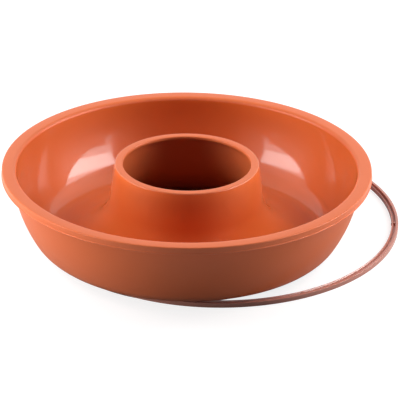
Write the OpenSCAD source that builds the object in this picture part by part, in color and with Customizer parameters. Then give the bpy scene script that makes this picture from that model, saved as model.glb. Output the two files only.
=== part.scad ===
// Savarin mould: a soft ring mould with a centre tube, leaning on its own loose support ring.
// The origin is on the table, under the centre of the mould's base. Sizes are in millimetres.

/* [Rim] */
// Outer diameter over the rim
rim_d = 260; // [220:1:300]
// Height of the rim's top above the base
mould_h = 57; // [50:0.5:66]
// Thickness of the rim's flat plate
plate_t = 1.8; // [1.4:0.1:2.6]
// Thickness of the lip that hangs from the rim's outer edge
lip_t = 1.7; // [1.4:0.1:3]
// Rounding of the rim's outer top edge
rim_round = 0.8; // [0.2:0.1:1.2]
// Rounding of the rim's top edge on the side of the trough
brim_round = 2.6; // [0.6:0.1:3.4]
// Rounding of both corners along the lip's lower edge
lip_round = 0.6; // [0.2:0.1:0.7]

/* [Trough] */
// Thickness of the moulding's wall and base
wall_t = 3.2; // [2.2:0.1:3.6]
// Radius of the bulge of the outside wall, from its foot to the rim
bulge_r = 100; // [80:5:160]
// Outward lean of the outside wall where it meets the rim, in degrees
wall_lean = 3; // [0:0.5:8]
// Radius of the outside corner between the base and the wall
foot_round = 20.5; // [10:0.5:26]

/* [Centre tube] */
// How far the tube's top stands above the rim's top
tube_rise = 1.8; // [-8:0.2:8]
// Diameter over the tube's top
tube_d = 101.2; // [80:0.2:120]
// Width of the flat collar around the hole in the tube's top
collar_w = 5.6; // [3.6:0.1:12]
// Thickness of the collar around the hole
collar_t = 2.1; // [1.6:0.1:4]
// Rounding of the collar's two top edges
collar_round = 0.8; // [0.2:0.1:0.9]
// Draft of the tube's side, in degrees
tube_draft = 7.5; // [2:0.5:9]
// Radius of the trough's corner at the foot of the tube, as far as the floor leaves room for it
tube_foot_r = 35; // [12:0.5:40]

/* [Support ring] */
// Width of the ring, across its channel
ring_w = 4.8; // [3.8:0.1:7]
// Height of the ring, which is also the depth of its groove under the rim
ring_h = 3.4; // [2.8:0.1:5]
// Thickness of the channel's two sides
ring_side_t = 1; // [0.7:0.1:1.3]
// Thickness of the channel's floor
ring_floor_t = 1.2; // [0.8:0.1:1.8]
// Rounding of the ring's outer edges
ring_round = 0.3; // [0.1:0.05:0.4]
// Play on each side between the ring and its groove
ring_play = 0.3; // [0.1:0.05:0.6]
// Number of small webs that cross the channel
web_n = 6; // [3:1:16]
// Thickness of a web
web_t = 1.2; // [0.8:0.1:2]
// How far a web stands out of the ring's inner side
web_out = 0.4; // [0.2:0.05:0.8]
// Direction of the first web, in degrees
web_turn = -64; // [-90:1:90]

/* [Lay-out] */
// Distance between the centres of the mould and the loose ring
ring_away = 37.5; // [24:0.5:50]
// Direction in which the ring lies, in degrees from the right towards the back
ring_turn = 49; // [0:1:90]
// Gap between the ring and the mould's base where they meet
rest_gap = 0.1; // [0.05:0.05:0.3]

/* [Hidden] */
$fn = 180;

silicone_colour = "#d2522f";
plastic_colour = "#7d5046";

// Least width of the trough's flat floor
floor_w = 1;

// Segments of a small edge rounding, of a corner and of the long bulge
edge_steps = 5;
corner_steps = 16;
bulge_steps = 14;

// The ring fits its groove: it sets the lip's inner side and the top of the wall.
rim_r = rim_d / 2;
lip_in_r = rim_r - lip_t;
ring_out_r = lip_in_r - ring_play;
ring_in_r = ring_out_r - ring_w;
wall_top_r = ring_in_r - ring_play;
roof_z = mould_h - plate_t;
lip_z = roof_z - ring_h;

// Centre of the bulge, and of the corner that rounds its foot into the base
bulge_c = [wall_top_r - bulge_r * cos(wall_lean), roof_z + bulge_r * sin(wall_lean)];
foot_c = [bulge_c.x + sqrt(pow(bulge_r - foot_round, 2) - pow(bulge_c.y - foot_round, 2)), foot_round];
foot_a = atan2(foot_c.y - bulge_c.y, foot_c.x - bulge_c.x);
base_r = foot_c.x;

// The rounded brim touches the rim's top and the inside of the bulge.
bulge_in_r = bulge_r - wall_t;
brim_z = mould_h - brim_round;
brim_c = [bulge_c.x + sqrt(pow(bulge_in_r + brim_round, 2) - pow(brim_z - bulge_c.y, 2)), brim_z];
brim_a = atan2(brim_c.y - bulge_c.y, brim_c.x - bulge_c.x);

// The tube's side is a cone. Its foot corner touches the cone and the floor of the trough.
tube_r = tube_d / 2;
hole_r = tube_r - collar_w;
tube_h = mould_h + tube_rise;
side_n = [cos(tube_draft), sin(tube_draft)];
floor_room = (base_r - floor_w - tube_r) * side_n.x - (tube_h - wall_t) * side_n.y;
flare_r = min(tube_foot_r, floor_room / (1 - side_n.y));
flare_z = wall_t + flare_r;
flare_c = [tube_r + (flare_r + (tube_h - flare_z) * side_n.y) / side_n.x, flare_z];
collar_x = tube_r - collar_round * (1 - side_n.y) / side_n.x;
collar_z = tube_h - collar_t;
tube_in_top_r = tube_r + (collar_t * side_n.y - wall_t) / side_n.x;

// The mould tips up on the side away from the ring's centre, until its base clears the ring.
lift_dir = [-cos(ring_turn), -sin(ring_turn)];
ring_edges = [ring_in_r - web_out, ring_in_r, ring_out_r];
mould_tilt = asin(max([for (edge_r = ring_edges, a = [-80:1:80]) slope_over(edge_r, a)]));
mould_lift = base_r * sin(mould_tilt) + foot_round * (1 - cos(mould_tilt));

// Points of a round stretch about c, from angle a0 to angle a1
function arc(c, r, a0, a1, steps) =
    [for (i = [0:steps]) let (a = a0 + (a1 - a0) * i / steps) c + r * [cos(a), sin(a)]];

// Height of the mould's underside at radius r, before it leans
function under_z(r) =
    r <= base_r ? 0
    : r < foot_c.x + foot_round * cos(foot_a) ? foot_c.y - sqrt(pow(foot_round, 2) - pow(r - foot_c.x, 2))
    : bulge_c.y - sqrt(pow(bulge_r, 2) - pow(min(r, wall_top_r) - bulge_c.x, 2));

// Slope that the base needs to clear the ring's edge of radius edge_r, a degrees from the lifted side
function slope_over(edge_r, a) =
    let (x = edge_r * cos(a) - ring_away, y = edge_r * sin(a))
    max(0, (ring_h + rest_gap - under_z(norm([x, y]))) / (x + base_r));

// Section of the moulding: up the outside from the tube to the rim, and back along the trough
module mould_section() {
    outside = concat(
        [[hole_r, collar_z], [tube_in_top_r, collar_z]],
        arc(flare_c, flare_r + wall_t, 180 + tube_draft, 270, corner_steps),
        arc(foot_c, foot_round, -90, foot_a, corner_steps),
        arc(bulge_c, bulge_r, foot_a, -wall_lean, bulge_steps)
    );
    rim = concat(
        [[lip_in_r, roof_z]],
        arc([lip_in_r + lip_round, lip_z + lip_round], lip_round, 180, 270, edge_steps),
        arc([rim_r - lip_round, lip_z + lip_round], lip_round, -90, 0, edge_steps),
        arc([rim_r - rim_round, mould_h - rim_round], rim_round, 0, 90, edge_steps),
        arc(brim_c, brim_round, 90, 180 + brim_a, edge_steps)
    );
    trough = concat(
        arc(bulge_c, bulge_in_r, brim_a, foot_a, bulge_steps),
        arc(foot_c, foot_round - wall_t, foot_a, -90, corner_steps),
        arc(flare_c, flare_r, 270, 180 + tube_draft, corner_steps),
        arc([collar_x, tube_h - collar_round], collar_round, tube_draft, 90, edge_steps),
        arc([hole_r + collar_round, tube_h - collar_round], collar_round, 90, 180, edge_steps)
    );
    polygon(concat(outside, rim, trough));
}

// Section of the ring: a channel open at the top, with rounded outer edges
module ring_section() {
    low = ring_round;
    high = ring_h - ring_round;
    polygon(concat(
        arc([ring_in_r + low, low], ring_round, 180, 270, edge_steps),
        arc([ring_out_r - low, low], ring_round, -90, 0, edge_steps),
        arc([ring_out_r - low, high], ring_round, 0, 90, edge_steps),
        [[ring_out_r - ring_side_t, ring_h], [ring_out_r - ring_side_t, ring_floor_t]],
        [[ring_in_r + ring_side_t, ring_floor_t], [ring_in_r + ring_side_t, ring_h]],
        arc([ring_in_r + low, high], ring_round, 90, 180, edge_steps)
    ));
}

// One web across the channel, which also stands a little out of the ring's inner side
module web() {
    web_h = ring_h - ring_floor_t / 2;
    translate([ring_in_r - web_out, -web_t / 2, ring_floor_t / 2 - ring_round])
        cube([ring_w + web_out - ring_side_t / 2, web_t, web_h]);
}

module mould() {
    color(silicone_colour)
        translate([0, 0, mould_lift])
            rotate(mould_tilt, [lift_dir.y, -lift_dir.x, 0])
                rotate_extrude() mould_section();
}

module support_ring() {
    color(plastic_colour)
        translate([ring_away * cos(ring_turn), ring_away * sin(ring_turn), 0]) {
            rotate_extrude() ring_section();
            for (i = [0:web_n - 1]) rotate(web_turn + i * 360 / web_n) web();
        }
}

mould();
support_ring();
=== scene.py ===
import math

import bmesh
import bpy
from mathutils import Matrix, Vector


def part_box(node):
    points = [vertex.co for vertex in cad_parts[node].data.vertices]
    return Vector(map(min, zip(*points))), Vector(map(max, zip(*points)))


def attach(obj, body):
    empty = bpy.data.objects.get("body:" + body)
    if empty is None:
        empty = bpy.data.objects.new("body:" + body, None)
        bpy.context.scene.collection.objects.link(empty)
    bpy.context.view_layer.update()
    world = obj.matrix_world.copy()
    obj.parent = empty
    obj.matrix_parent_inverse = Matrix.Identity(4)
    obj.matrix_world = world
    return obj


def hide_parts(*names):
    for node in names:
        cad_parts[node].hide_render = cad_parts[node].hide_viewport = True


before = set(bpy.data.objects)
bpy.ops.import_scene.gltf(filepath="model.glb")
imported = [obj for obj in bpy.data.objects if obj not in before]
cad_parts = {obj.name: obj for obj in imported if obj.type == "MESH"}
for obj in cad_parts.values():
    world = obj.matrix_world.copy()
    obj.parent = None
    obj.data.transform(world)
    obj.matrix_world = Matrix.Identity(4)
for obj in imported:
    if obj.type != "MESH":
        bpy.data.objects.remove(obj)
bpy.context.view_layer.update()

# Savarin mould in terracotta silicone, leaning on its loose stiffening ring.
# Metres throughout; sizes in the dictionaries are millimetres and go through mm.

mm = 0.001
aroundSteps = 240  # steps of a full turn, so that no facet shows along the rim
arcSteps = 6  # steps of a small rounded edge
cornerSteps = 24  # steps of the big corners and the bulge
webSteps = 2  # steps of a web's rounded edge
sharpAngle = math.radians(35)
weldDistance = 0.002 * mm


def turned(degrees):
    return Vector((math.cos(math.radians(degrees)), math.sin(math.radians(degrees))))


# A section is drawn as a chain of vertices. Its points are pairs in millimetres, radius and height.

def inSection(point):
    return Vector((point[0], 0, point[1])) * mm


def startAt(bm, point):
    return bmesh.ops.create_vert(bm, co=inSection(point))["vert"][0]


def lineTo(bm, vert, point):
    new = bmesh.ops.extrude_vert_indiv(bm, verts=[vert])["verts"][0]
    bmesh.ops.translate(bm, verts=[new], vec=inSection(point) - vert.co)
    return new


def arcTo(bm, vert, centre, degrees, steps):
    made = bmesh.ops.spin(bm, geom=[vert], cent=inSection(centre), axis=(0, -1, 0),
                          angle=math.radians(degrees), steps=steps)
    return [g for g in made["geom_last"] if isinstance(g, bmesh.types.BMVert)][0]


def unique(items):
    # each item once, in a fixed order, so that every run gives the same mesh
    return list(dict.fromkeys(items))


def fullTurn(bm, edges, slotIndex):
    before = set(bm.faces)
    verts = unique(v for e in edges for v in e.verts)
    bmesh.ops.spin(bm, geom=verts + edges, cent=(0, 0, 0), axis=(0, 0, 1),
                   angle=math.tau, steps=aroundSteps, use_merge=True)
    for face in bm.faces:
        if face not in before:
            face.material_index = slotIndex


def weld(bm):
    bmesh.ops.remove_doubles(bm, verts=bm.verts[:], dist=weldDistance)
    bmesh.ops.recalc_face_normals(bm, faces=bm.faces[:])
    for face in bm.faces:
        face.smooth = True
    for edge in bm.edges:
        edge.smooth = edge.calc_face_angle(0) < sharpAngle


def addObject(name, data):
    holder = bpy.data.objects.new(name, data)
    bpy.context.scene.collection.objects.link(holder)
    return holder


def addPiece(name, bm, materials):
    # spin makes its faces in another order on each run, so they are numbered again by their corners
    bm.verts.index_update()
    ordered = sorted(bm.faces, key=lambda face: sorted(v.index for v in face.verts))
    for number, face in enumerate(ordered):
        face.index = number
    bm.faces.sort()
    mesh = bpy.data.meshes.new(name)
    bm.to_mesh(mesh)
    bm.free()
    for material in materials:
        mesh.materials.append(material)
    return addObject(name, mesh)


# Lay-out, read from the frame: the ring gives its own centre, and the tube's top gives the mould's
# lean.
ringLow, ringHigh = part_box("support_ring")
ringCentre = Vector(((ringLow.x + ringHigh.x) / 2, (ringLow.y + ringHigh.y) / 2, 0))
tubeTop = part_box("mould")[1].z

mouldSizes = {
    "rimRadius": 130, "height": 57, "plate": 1.8, "lip": 1.7,
    "rimRound": 0.8, "brimRound": 2.6, "lipRound": 0.6, "lipStep": 0.35,
    "wall": 3.2, "bulge": 100, "wallLean": 3, "foot": 20.5,
    "tubeHeight": 58.8, "tubeRadius": 50.6, "holeRadius": 45,
    "collar": 2.1, "collarRound": 0.8, "tubeDraft": 7.5, "flare": 35,
}


def drawMould(bm, s, r):
    grooveOut = s["rimRadius"] - s["lip"]
    wallTop = grooveOut - 2 * r["play"] - r["width"]
    roof = s["height"] - s["plate"]
    lipLow = roof - r["height"]

    # long bulge of the wall, and the corner that rounds it into the base
    bulgeAt = Vector((wallTop, roof)) - s["bulge"] * turned(-s["wallLean"])
    reach = s["bulge"] - s["foot"]
    footX = bulgeAt.x + math.sqrt(reach ** 2 - (bulgeAt.y - s["foot"]) ** 2)
    footAt = Vector((footX, s["foot"]))
    footAngle = math.degrees(math.atan2(footAt.y - bulgeAt.y, footAt.x - bulgeAt.x))

    # the brim touches the rim's top and the inside of the bulge
    innerBulge = s["bulge"] - s["wall"]
    brimZ = s["height"] - s["brimRound"]
    brimX = bulgeAt.x + math.sqrt((innerBulge + s["brimRound"]) ** 2 - (brimZ - bulgeAt.y) ** 2)
    brimAt = Vector((brimX, brimZ))
    brimAngle = math.degrees(math.atan2(brimAt.y - bulgeAt.y, brimAt.x - bulgeAt.x))

    # the tube: a steep cone that flares out into the floor
    side = turned(s["tubeDraft"])
    flareZ = s["wall"] + s["flare"]
    flareX = s["tubeRadius"] + (s["flare"] + (s["tubeHeight"] - flareZ) * side.y) / side.x
    flareAt = Vector((flareX, flareZ))
    collarX = s["tubeRadius"] - s["collarRound"] * (1 - side.y) / side.x
    collarZ = s["tubeHeight"] - s["collar"]
    underCollar = s["tubeRadius"] + (s["collar"] * side.y - s["wall"]) / side.x
    collarAt = Vector((collarX, s["tubeHeight"] - s["collarRound"]))
    holeEdgeAt = Vector((s["holeRadius"] + s["collarRound"], collarAt.y))

    # satin side, from the collar's top down the hole, round the base and up to the groove, the lip,
    # the rim and its brim
    v = startAt(bm, collarAt + s["collarRound"] * turned(90))
    v = lineTo(bm, v, holeEdgeAt + s["collarRound"] * turned(90))
    v = arcTo(bm, v, holeEdgeAt, 90, arcSteps)
    v = lineTo(bm, v, (s["holeRadius"], collarZ))
    v = lineTo(bm, v, (underCollar, collarZ))
    v = lineTo(bm, v, flareAt + (s["flare"] + s["wall"]) * turned(180 + s["tubeDraft"]))
    v = arcTo(bm, v, flareAt, 90 - s["tubeDraft"], cornerSteps)
    v = lineTo(bm, v, (footAt.x, 0))
    v = arcTo(bm, v, footAt, footAngle + 90, cornerSteps)
    v = arcTo(bm, v, bulgeAt, -s["wallLean"] - footAngle, cornerSteps)
    v = lineTo(bm, v, (grooveOut, roof))
    v = lineTo(bm, v, (grooveOut, lipLow + s["lipRound"]))
    v = arcTo(bm, v, (grooveOut + s["lipRound"], lipLow + s["lipRound"]), 90, arcSteps)
    v = lineTo(bm, v, (s["rimRadius"] - s["lipRound"], lipLow))
    # a slim bead runs along the lip's lower edge, and the face above it is set back by a hair
    beadAngle = math.degrees(math.acos(1 - s["lipStep"] / s["lipRound"]))
    v = arcTo(bm, v, (s["rimRadius"] - s["lipRound"], lipLow + s["lipRound"]),
              90 + beadAngle, 2 * arcSteps)
    rimAt = Vector((s["rimRadius"] - s["lipStep"] - s["rimRound"], s["height"] - s["rimRound"]))
    v = lineTo(bm, v, (s["rimRadius"] - s["lipStep"], rimAt.y))
    v = arcTo(bm, v, rimAt, 90, arcSteps)
    v = lineTo(bm, v, brimAt + s["brimRound"] * turned(90))
    arcTo(bm, v, brimAt, 90 + brimAngle, arcSteps)
    fullTurn(bm, bm.edges[:], 0)

    # polished side, from under the brim down the trough and up to the collar
    known = set(bm.edges)
    v = startAt(bm, brimAt + s["brimRound"] * turned(180 + brimAngle))
    v = arcTo(bm, v, bulgeAt, footAngle - brimAngle, cornerSteps)
    v = arcTo(bm, v, footAt, -90 - footAngle, cornerSteps)
    v = lineTo(bm, v, (flareAt.x, s["wall"]))
    v = arcTo(bm, v, flareAt, s["tubeDraft"] - 90, cornerSteps)
    v = lineTo(bm, v, collarAt + s["collarRound"] * side)
    arcTo(bm, v, collarAt, 90 - s["tubeDraft"], arcSteps)
    fullTurn(bm, [e for e in bm.edges if e not in known], 1)
    return footAt.x


def leanMould(bm, s, baseRadius):
    # in the frame the tube reaches higher than its own height by what the lean lifts its far edge
    armToTop = (baseRadius + s["tubeRadius"] - s["collarRound"]) * mm
    lean = math.asin((tubeTop - s["tubeHeight"] * mm) / armToTop)
    lift = baseRadius * mm * math.sin(lean) + s["foot"] * mm * (1 - math.cos(lean))
    away = -ringCentre.normalized()
    spin = Matrix.Rotation(lean, 3, Vector((away.y, -away.x, 0)))
    bmesh.ops.rotate(bm, cent=(0, 0, 0), matrix=spin, verts=bm.verts[:])
    bmesh.ops.translate(bm, verts=bm.verts[:], vec=(0, 0, lift))
    return math.degrees(lean)


# innerTop and innerFoot are the thickness of the channel's drafted inner side, above and below.
ringSizes = {
    "width": 4.8, "height": 3.4, "round": 0.3, "play": 0.3,
    "floor": 1.6, "outerSide": 1.9, "innerTop": 0.55, "innerFoot": 1.55,
    "webs": 6, "webThickness": 1.2, "webOut": 0.4, "webRound": 0.15, "firstWeb": -64,
}


def drawRing(bm, s, r):
    outer = s["rimRadius"] - s["lip"] - r["play"]
    inner = outer - r["width"]
    low, high, edge = r["round"], r["height"] - r["round"], r["round"]

    v = startAt(bm, (inner, low))
    v = arcTo(bm, v, (inner + edge, low), 90, arcSteps)
    v = lineTo(bm, v, (outer - edge, 0))
    v = arcTo(bm, v, (outer - edge, low), 90, arcSteps)
    v = lineTo(bm, v, (outer, high))
    v = arcTo(bm, v, (outer - edge, high), 90, arcSteps)
    v = lineTo(bm, v, (outer - r["outerSide"], r["height"]))
    v = lineTo(bm, v, (outer - r["outerSide"], r["floor"]))
    v = lineTo(bm, v, (inner + r["innerFoot"], r["floor"]))
    v = lineTo(bm, v, (inner + r["innerTop"], r["height"]))
    v = lineTo(bm, v, (inner + edge, r["height"]))
    v = arcTo(bm, v, (inner + edge, high), 90, arcSteps)
    lineTo(bm, v, (inner, low))
    fullTurn(bm, bm.edges[:], 0)
    weld(bm)

    # small webs stiffen the channel and stand a hair proud of its inner side
    webFrom, webTo = inner - r["webOut"], outer - r["outerSide"] / 2
    webLow, webHigh = r["floor"] / 2, high
    size = Vector((webTo - webFrom, r["webThickness"], webHigh - webLow)) * mm
    middle = Vector(((webFrom + webTo) / 2, 0, (webLow + webHigh) / 2)) * mm
    for i in range(r["webs"]):
        cube = bmesh.ops.create_cube(bm, size=1)["verts"]
        bmesh.ops.scale(bm, vec=size, verts=cube)
        bmesh.ops.translate(bm, vec=middle, verts=cube)
        edges = unique(e for w in cube for e in w.link_edges)
        rounded = bmesh.ops.bevel(bm, geom=edges, affect="EDGES", offset=r["webRound"] * mm,
                                  segments=webSteps, profile=0.5, material=-1)
        block = unique(w for f in rounded["faces"] for w in f.verts)
        turn = Matrix.Rotation(math.radians(r["firstWeb"] + i * 360 / r["webs"]), 3, "Z")
        bmesh.ops.rotate(bm, cent=(0, 0, 0), matrix=turn, verts=block)
    bmesh.ops.translate(bm, verts=bm.verts[:], vec=ringCentre)


def srgb(hexColour):
    # the sRGB curve, from a written colour to the linear light that the shaders take
    channels = [int(hexColour[i:i + 2], 16) / 255 for i in (1, 3, 5)]
    return [c / 12.92 if c <= 0.04045 else ((c + 0.055) / 1.055) ** 2.4 for c in channels] + [1.0]


def grey(value):
    return [value] * 3 + [1.0]


def emptyTree(owner):
    owner.use_nodes = True
    owner.node_tree.nodes.clear()
    return owner.node_tree


def addNode(tree, kind, settings=(), inputs=()):
    node = tree.nodes.new(kind)
    for key, value in dict(settings).items():
        setattr(node, key, value)
    for key, value in dict(inputs).items():
        if isinstance(value, bpy.types.NodeSocket):
            tree.links.new(value, node.inputs[key])
        else:
            node.inputs[key].default_value = value
    return node


# A Mix node's colour sockets share their names with others, so they go by number.
mixFactor, mixFirst, mixSecond, mixResult = 0, 6, 7, 2

# Pattern sizes and bump depths are in millimetres.
siliconeLooks = {
    "cloudSize": 38, "cloudDetail": 2.0, "cloudRoughness": 0.5,
    "grainSize": 0.9, "grainDetail": 3.0, "grainRoughness": 0.6,
    "bumpDepth": 0.05, "roughnessSpread": 0.03, "glossRoughness": 0.06, "ior": 1.42,
    "outside": {"tints": ("#dc6e3f", "#d76839"), "roughness": 0.34, "gloss": 0.0, "grain": 0.2},
    "trough": {"tints": ("#d66930", "#d1642c"), "roughness": 0.36, "gloss": 0.95, "grain": 0.05},
}


def silicone(name, looks, side):
    # Moulded platinum silicone: an even saturated terracotta with faint cloudy pigment and a satin
    # skin. The trough was moulded on a polished core, which leaves a thin sharp gloss over that.
    own, spread = looks[side], looks["roughnessSpread"]
    material = bpy.data.materials.new(name)
    tree = emptyTree(material)
    place = addNode(tree, "ShaderNodeTexCoord")
    cloud = addNode(tree, "ShaderNodeTexNoise", {"noise_dimensions": "3D"},
                    {"Vector": place.outputs["Object"], "Scale": 1 / (looks["cloudSize"] * mm),
                     "Detail": looks["cloudDetail"], "Roughness": looks["cloudRoughness"]})
    tint = addNode(tree, "ShaderNodeMix", {"data_type": "RGBA"},
                   {mixFactor: cloud.outputs["Fac"], mixFirst: srgb(own["tints"][0]),
                    mixSecond: srgb(own["tints"][1])})
    rough = addNode(tree, "ShaderNodeMapRange", {},
                    {"Value": cloud.outputs["Fac"], "To Min": own["roughness"] - spread,
                     "To Max": own["roughness"] + spread})
    grain = addNode(tree, "ShaderNodeTexNoise", {"noise_dimensions": "3D"},
                    {"Vector": place.outputs["Object"], "Scale": 1 / (looks["grainSize"] * mm),
                     "Detail": looks["grainDetail"], "Roughness": looks["grainRoughness"]})
    bump = addNode(tree, "ShaderNodeBump", {},
                   {"Height": grain.outputs["Fac"], "Strength": own["grain"],
                    "Distance": looks["bumpDepth"] * mm})
    shader = addNode(tree, "ShaderNodeBsdfPrincipled", {},
                     {"Base Color": tint.outputs[mixResult], "Roughness": rough.outputs["Result"],
                      "Normal": bump.outputs["Normal"], "IOR": looks["ior"],
                      "Coat Weight": own["gloss"], "Coat Roughness": looks["glossRoughness"],
                      "Coat IOR": looks["ior"]})
    addNode(tree, "ShaderNodeOutputMaterial", {}, {"Surface": shader.outputs["BSDF"]})
    return material


nylonLooks = {
    "tints": ("#bf8172", "#c7897a"), "speckleSize": 1.2, "speckleDetail": 3.0, "grain": 0.15,
    "bumpDepth": 0.05, "roughness": 0.22, "ior": 1.53,
}


def nylon(name, looks):
    # Glass-filled nylon, injection moulded: dull brown, a fine speckle and a soft broad highlight.
    material = bpy.data.materials.new(name)
    tree = emptyTree(material)
    place = addNode(tree, "ShaderNodeTexCoord")
    speckle = addNode(tree, "ShaderNodeTexNoise", {"noise_dimensions": "3D"},
                      {"Vector": place.outputs["Object"], "Scale": 1 / (looks["speckleSize"] * mm),
                       "Detail": looks["speckleDetail"]})
    tint = addNode(tree, "ShaderNodeMix", {"data_type": "RGBA"},
                   {mixFactor: speckle.outputs["Fac"], mixFirst: srgb(looks["tints"][0]),
                    mixSecond: srgb(looks["tints"][1])})
    bump = addNode(tree, "ShaderNodeBump", {},
                   {"Height": speckle.outputs["Fac"], "Strength": looks["grain"],
                    "Distance": looks["bumpDepth"] * mm})
    shader = addNode(tree, "ShaderNodeBsdfPrincipled", {},
                     {"Base Color": tint.outputs[mixResult], "Roughness": looks["roughness"],
                      "Normal": bump.outputs["Normal"], "IOR": looks["ior"]})
    addNode(tree, "ShaderNodeOutputMaterial", {}, {"Surface": shader.outputs["BSDF"]})
    return material


outsideSilicone = silicone("silicone_satin_outside", siliconeLooks, "outside")
troughSilicone = silicone("silicone_polished_trough", siliconeLooks, "trough")
ringNylon = nylon("glass_filled_nylon", nylonLooks)
print("materials ready")

bm = bmesh.new()
baseRadius = drawMould(bm, mouldSizes, ringSizes)
weld(bm)
leanDegrees = leanMould(bm, mouldSizes, baseRadius)
mouldPiece = addPiece("silicone_mould", bm, [outsideSilicone, troughSilicone])
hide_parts("mould")
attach(mouldPiece, "root")
print("mould ready, leaning", round(leanDegrees, 3), "degrees")

bm = bmesh.new()
drawRing(bm, mouldSizes, ringSizes)
ringPiece = addPiece("channel_ring", bm, [ringNylon])
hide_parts("support_ring")
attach(ringPiece, "root")
print("ring ready")


def seenOrMirrored(tree, straight=1.0, mirrored=1.0):
    # what the camera sees, straight, mirrored or through a clear thing; 0 for the light on surfaces
    path = addNode(tree, "ShaderNodeLightPath")
    indirect = addNode(tree, "ShaderNodeMath", {"operation": "MAXIMUM"},
                       {0: path.outputs["Is Glossy Ray"], 1: path.outputs["Is Transmission Ray"]})
    reflected = addNode(tree, "ShaderNodeMath", {"operation": "MULTIPLY"},
                        {0: indirect.outputs[0], 1: mirrored})
    seen = addNode(tree, "ShaderNodeMath", {"operation": "MULTIPLY"},
                   {0: path.outputs["Is Camera Ray"], 1: straight})
    return addNode(tree, "ShaderNodeMath", {"operation": "MAXIMUM"},
                   {0: seen.outputs[0], 1: reflected.outputs[0]}).outputs[0]


# The floor's size is in metres, its reaches are millimetres from the mould's middle.
stageLooks = {
    "floorSize": 6.0, "room": 0.04, "shadowTone": 0.30, "whiteShare": 0.82,
    "shadedReach": 250, "farReach": 1500,
    # from footNear to footFar the paper's bounce colour goes from footShade to shade, painted shade
    # at the mould's foot
    "footNear": 105, "footFar": 140, "footShade": "#080808", "shade": "#8c8c8c",
}


def pureWhiteFloor(looks, baseReach):
    # White to the camera with the object's own shadow kept, and a mid grey for the light that it
    # throws back.
    material = bpy.data.materials.new("seamless_paper")
    tree = emptyTree(material)
    paper = addNode(tree, "ShaderNodeBsdfDiffuse", {}, {"Color": grey(looks["shadowTone"])})
    place = addNode(tree, "ShaderNodeTexCoord")
    length = addNode(tree, "ShaderNodeVectorMath", {"operation": "LENGTH"},
                     {0: place.outputs["Object"]})
    reach = length.outputs["Value"]
    # the paper under the mould lies in its shadow, so it doesn't glow through the tube's hole, and
    # the paper close round it is shaded where the mould mirrors it
    clear = addNode(tree, "ShaderNodeMath", {"operation": "GREATER_THAN"}, {0: reach, 1: baseReach})
    shaded = addNode(tree, "ShaderNodeMapRange", {},
                     {"Value": reach, "From Min": baseReach, "From Max": looks["shadedReach"] * mm})
    # far from the lamps the paper glows more, so that it stays white to the horizon
    distant = addNode(tree, "ShaderNodeMapRange", {},
                      {"Value": reach, "From Min": looks["shadedReach"] * mm,
                       "From Max": looks["farReach"] * mm, "To Min": looks["whiteShare"]})
    share = addNode(tree, "ShaderNodeMath", {"operation": "MULTIPLY"},
                    {0: seenOrMirrored(tree, clear.outputs[0], shaded.outputs["Result"]),
                     1: distant.outputs["Result"]})
    glow = addNode(tree, "ShaderNodeEmission", {},
                   {"Color": grey(1.0), "Strength": share.outputs[0]})
    white = addNode(tree, "ShaderNodeAddShader", {}, {0: paper.outputs[0], 1: glow.outputs[0]})
    # painted shade: the paper's colour for bounced light darkens to near black at the mould's foot,
    # in place of its contact shadow
    paintedShadeFade = addNode(tree, "ShaderNodeMapRange", {},
                       {"Value": reach, "From Min": looks["footNear"] * mm,
                        "From Max": looks["footFar"] * mm})
    bounceWithPaintedShade = addNode(tree, "ShaderNodeMix", {"data_type": "RGBA"},
                     {mixFactor: paintedShadeFade.outputs["Result"], mixFirst: srgb(looks["footShade"]),
                      mixSecond: srgb(looks["shade"])})
    dull = addNode(tree, "ShaderNodeBsdfDiffuse", {}, {"Color": bounceWithPaintedShade.outputs[mixResult]})
    mix = addNode(tree, "ShaderNodeMixShader", {},
                  {0: seenOrMirrored(tree), 1: dull.outputs[0], 2: white.outputs[0]})
    addNode(tree, "ShaderNodeOutputMaterial", {}, {"Surface": mix.outputs[0]})
    return material


bm = bmesh.new()
bmesh.ops.create_grid(bm, x_segments=1, y_segments=1, size=stageLooks["floorSize"] / 2)
floor = addPiece("floor", bm, [pureWhiteFloor(stageLooks, baseRadius * mm)])

# Softboxes round the object, dark towards the viewer. Azimuth and elevation say where each one
# hangs, across and tall are its angles as the object sees it, turn rolls it, and glow is its
# radiance. The mirrored ones only show as reflections, the white patches in the trough; the others
# only light the surfaces.
boxDistance = 1.2  # metres
mirroredBoxes = {
    "right": {"azimuth": -14, "elevation": 20, "across": 56, "tall": 10, "turn": -19, "glow": 7.2},
    "rightHalo": {"azimuth": -6, "elevation": 16, "across": 62, "tall": 17, "turn": -15, "glow": 4.5},
    "left": {"azimuth": 199, "elevation": 20, "across": 48, "tall": 10, "turn": 17, "glow": 5.6},
    "leftHalo": {"azimuth": 192, "elevation": 16, "across": 54, "tall": 16, "turn": 16, "glow": 3.2},
}
lightingBoxes = {
    "rightSide": {"azimuth": 10, "elevation": 20, "across": 25, "tall": 25, "turn": 0, "glow": 7.6},
    "rightHigh": {"azimuth": 20, "elevation": 45, "across": 50, "tall": 25, "turn": 0, "glow": 7.4},
    "rightLow": {"azimuth": -8, "elevation": 4, "across": 30, "tall": 6, "turn": 0, "glow": 18.0},
    "leftSide": {"azimuth": 173, "elevation": 20, "across": 32, "tall": 25, "turn": 0, "glow": 7.3},
    "leftHigh": {"azimuth": 168, "elevation": 45, "across": 40, "tall": 25, "turn": 0, "glow": 7.6},
    "leftLow": {"azimuth": 191, "elevation": 4, "across": 30, "tall": 6, "turn": 0, "glow": 36.0},
}


def spanAt(distance, degrees):
    return 2 * distance * math.tan(math.radians(degrees / 2))


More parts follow.
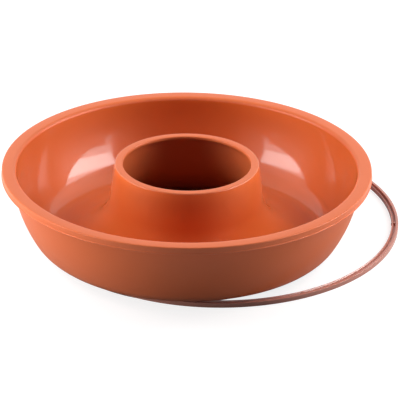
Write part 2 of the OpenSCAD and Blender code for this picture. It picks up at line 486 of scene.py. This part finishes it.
def addSoftbox(name, box, mirrored):
    elevation = math.radians(box["elevation"])
    flat = turned(box["azimuth"]) * math.cos(elevation)
    place = Vector((flat.x, flat.y, math.sin(elevation))) * boxDistance
    lamp = bpy.data.lights.new(name, "AREA")
    lamp.shape = "RECTANGLE"
    lamp.size = spanAt(boxDistance, box["across"]) * math.cos(elevation)
    lamp.size_y = spanAt(boxDistance, box["tall"])
    # the watts that give this radiance
    lamp.energy = box["glow"] * math.pi * lamp.size * lamp.size_y
    holder = addObject(name, lamp)
    holder.location = place
    roll = Matrix.Rotation(math.radians(box["turn"]), 3, "Z")
    holder.rotation_euler = ((-place).to_track_quat("-Z", "Y").to_matrix() @ roll).to_euler()
    holder.visible_glossy = mirrored
    holder.visible_diffuse = not mirrored


for name, box in mirroredBoxes.items():
    addSoftbox(name, box, True)
for name, box in lightingBoxes.items():
    addSoftbox(name, box, False)

world = bpy.data.worlds.new("studio")
bpy.context.scene.world = world
worldTree = emptyTree(world)
room = addNode(worldTree, "ShaderNodeBackground", {}, {"Color": grey(stageLooks["room"])})
clearWhite = addNode(worldTree, "ShaderNodeBackground", {}, {"Color": grey(1.0)})
worldMix = addNode(worldTree, "ShaderNodeMixShader", {},
                   {0: seenOrMirrored(worldTree), 1: room.outputs[0], 2: clearWhite.outputs[0]})
addNode(worldTree, "ShaderNodeOutputWorld", {}, {"Surface": worldMix.outputs[0]})

# The view of the photograph: 1.85 m from the origin, which sits at this pixel of a 400 pixel frame.
# The sensor's width is in millimetres.
view = {
    "elevation": 27.45, "roll": -0.339, "distance": 1.85, "clipEnd": 20, "sensor": 36.0,
    "pixelsPerMm": 1.405, "originPixel": (186.17, 240.34), "imageSize": 400,
}
camera = bpy.data.cameras.new("photograph")
camera.sensor_width = view["sensor"]
focalPixels = view["pixelsPerMm"] * view["distance"] / mm
camera.lens = focalPixels * view["sensor"] / view["imageSize"]
camera.shift_x = (view["imageSize"] / 2 - view["originPixel"][0]) / view["imageSize"]
camera.shift_y = (view["originPixel"][1] - view["imageSize"] / 2) / view["imageSize"]
camera.clip_end = view["clipEnd"]
cameraHolder = addObject("photograph", camera)
elevation = math.radians(view["elevation"])
back = view["distance"] * Vector((0, -math.cos(elevation), math.sin(elevation)))
tilt = Matrix.Rotation(math.radians(90 - view["elevation"]), 4, "X")
roll = Matrix.Rotation(math.radians(view["roll"]), 4, "Z")
cameraHolder.matrix_world = Matrix.Translation(back) @ tilt @ roll
bpy.context.scene.camera = cameraHolder
bpy.context.scene.view_settings.view_transform = "Standard"
print("stage ready")
